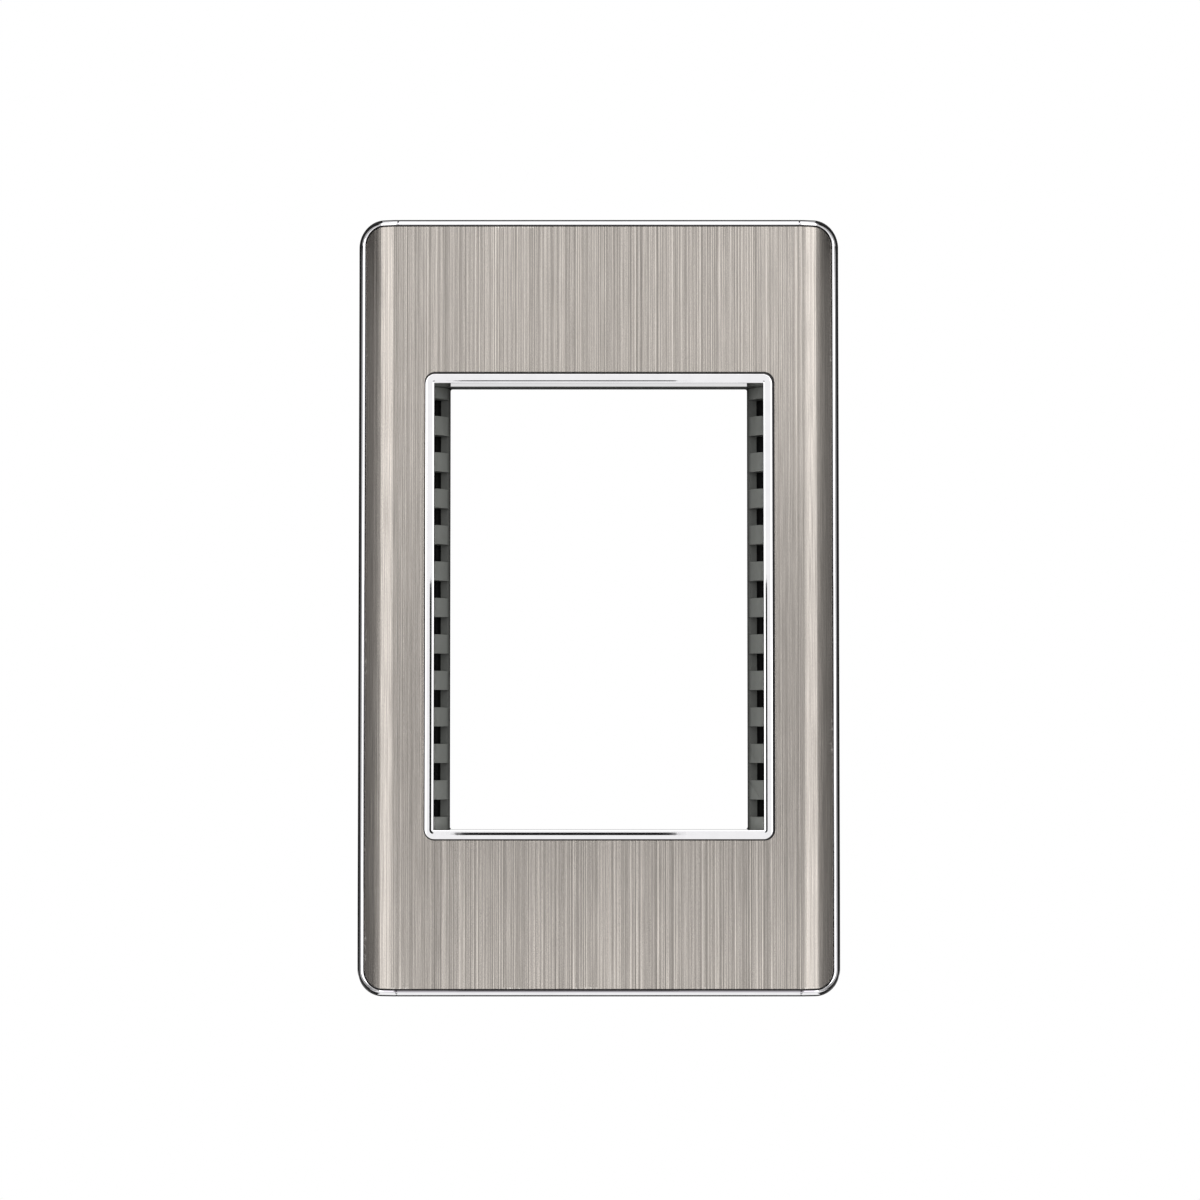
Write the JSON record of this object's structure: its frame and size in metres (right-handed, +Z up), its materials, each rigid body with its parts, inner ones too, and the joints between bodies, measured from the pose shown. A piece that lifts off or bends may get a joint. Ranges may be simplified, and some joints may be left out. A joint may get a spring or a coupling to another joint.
{
  "type": "switch plate",
  "caption": "Upright wall plate with a brushed metal face, rolled sides, chrome edge trim and a chrome-framed opening with notched module rails",
  "frame": {"origin": "Middle of the two-screw pattern in the plane of the wall, which is also the middle of the module opening.", "axes": "The plate hangs upright on a wall: +Z is up along its height, +X is to the right across its width for someone facing it, and the front looks along -Y. The wall is the plane Y = 0, behind the plate on its +Y side."},
  "size_m": [0.074, 0.0095, 0.119],
  "materials": {
    "frame_plastic": "dark grey moulded plastic, faintly satin",
    "carrier_plastic": "near black moulded plastic, matt",
    "trim_chrome": "bright plating on moulded plastic",
    "brushed_sheet": "warm grey metal sheet with a long upright grain",
    "bezel_chrome": "bright plating on moulded plastic"
  },
  "bodies": {
    "root": {"mounting_frame": "frame_plastic", "cover_carrier": "carrier_plastic", "outer_trim": "trim_chrome", "face_sheet": "brushed_sheet", "inner_bezel": "bezel_chrome"}
  },
  "joints": []
}
